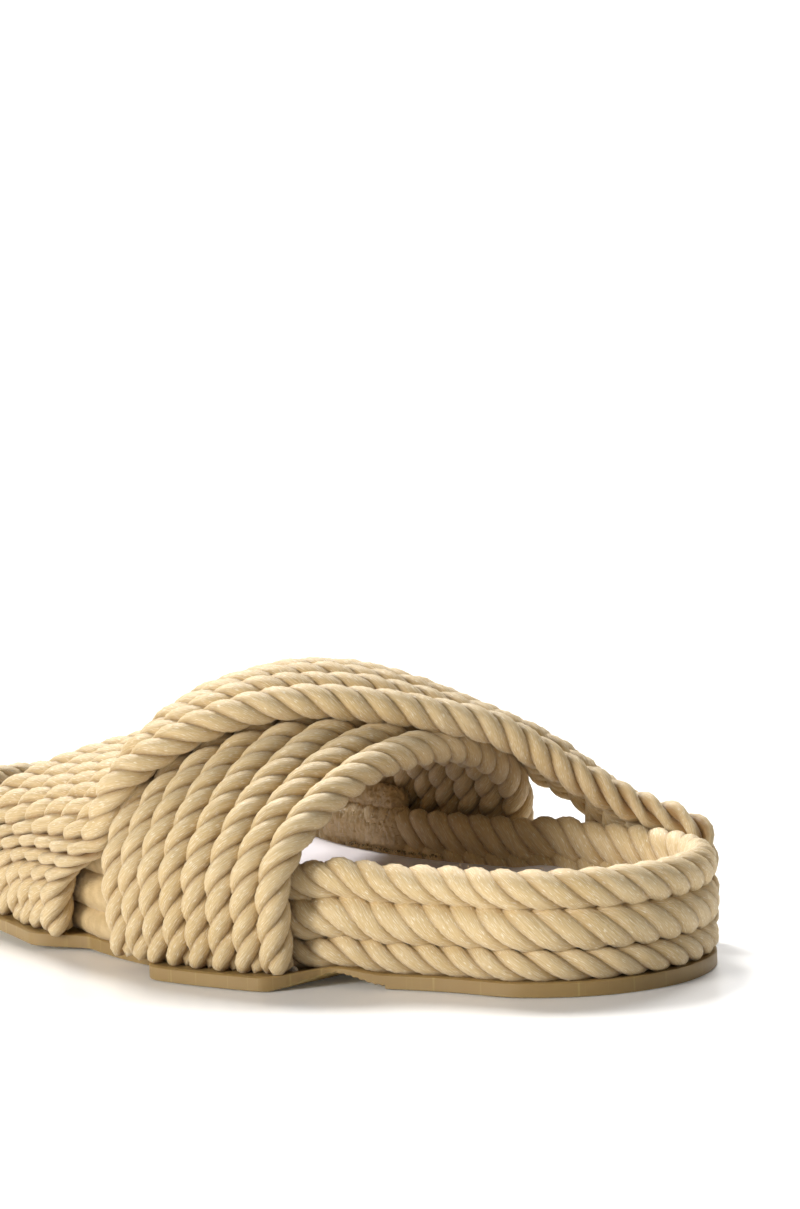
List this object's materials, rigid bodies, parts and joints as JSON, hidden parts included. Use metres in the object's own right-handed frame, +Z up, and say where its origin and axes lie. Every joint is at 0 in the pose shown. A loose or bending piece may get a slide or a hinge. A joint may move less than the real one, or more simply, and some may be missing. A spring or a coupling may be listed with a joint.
{
  "type": "rope sandal",
  "caption": "Open slip-on sandal: two wide straps of twisted rope cross over the foot, on a sole walled with stacked turns of rope and a thin flexible outsole.",
  "frame": {"origin": "centre of the bounding box in plan, on the floor under the outsole", "axes": "+Z up, +Y towards the toe, +X towards the medial side, so the lateral side is at -X"},
  "size_m": [0.113, 0.2518, 0.0696],
  "materials": {
    "outsole": "tan crepe rubber, smooth at the rim, a little see-through",
    "insole": "pale grey-lavender brushed textile over the footbed",
    "rope_course_lower": "three-strand twisted rope, cream, with a silky sheen",
    "rope_course_middle": "three-strand twisted rope, cream, with a silky sheen",
    "rope_course_upper": "three-strand twisted rope, cream, with a silky sheen",
    "upper": "three-strand twisted rope laid side by side, cream, with a silky sheen"
  },
  "bodies": {
    "root": {"outsole": "outsole", "insole": "insole", "rope_course_lower": "rope_course_lower", "rope_course_middle": "rope_course_middle", "rope_course_upper": "rope_course_upper", "upper": "upper"}
  },
  "joints": []
}
